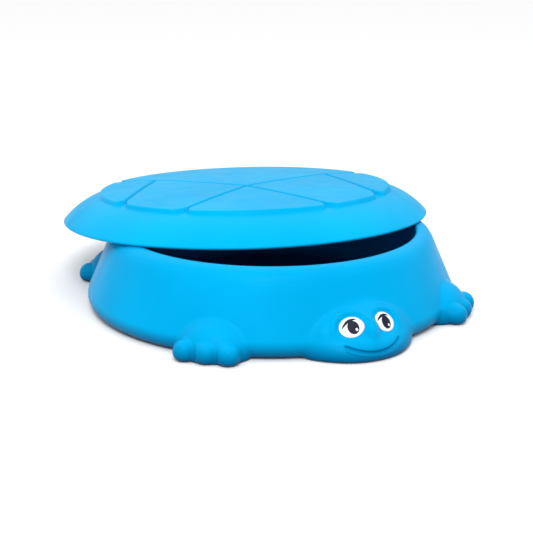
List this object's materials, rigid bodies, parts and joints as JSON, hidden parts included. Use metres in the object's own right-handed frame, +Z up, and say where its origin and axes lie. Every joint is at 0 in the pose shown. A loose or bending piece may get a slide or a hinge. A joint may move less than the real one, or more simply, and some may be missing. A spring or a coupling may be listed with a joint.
{
  "type": "sandbox with cover",
  "caption": "Round moulded sandbox shaped like a turtle, with a low tub that has a head and feet, and a lift-off lid shaped as its shell, shown lying ajar.",
  "frame": {"origin": "the middle of the tub's flat underside, on the ground, on the axis of the round basin", "axes": "+Z up; -Y towards the turtle's head and +Y towards its tail; +X towards the turtle's own left side, the right side of the front view"},
  "size_m": [0.9025, 1.122, 0.251],
  "materials": {
    "tub_plastic": "sky-blue moulded polyethylene, satin, with a fine orange-peel skin",
    "lid_plastic": "sky-blue moulded polyethylene, satin, with a fine orange-peel skin",
    "eye_print": "white vinyl sticker with a printed black pupil, lid line and small white glint"
  },
  "bodies": {
    "tub": {"tub": "tub_plastic", "eye_sticker_left": "eye_print", "eye_sticker_right": "eye_print"},
    "lid": {"lid": "lid_plastic"}
  },
  "joints": [
    {"name": "lid_lift", "type": "slide", "parent": "tub", "child": "lid", "axis": [0, 0, 1], "range_m": [0, 0.35]}
  ]
}
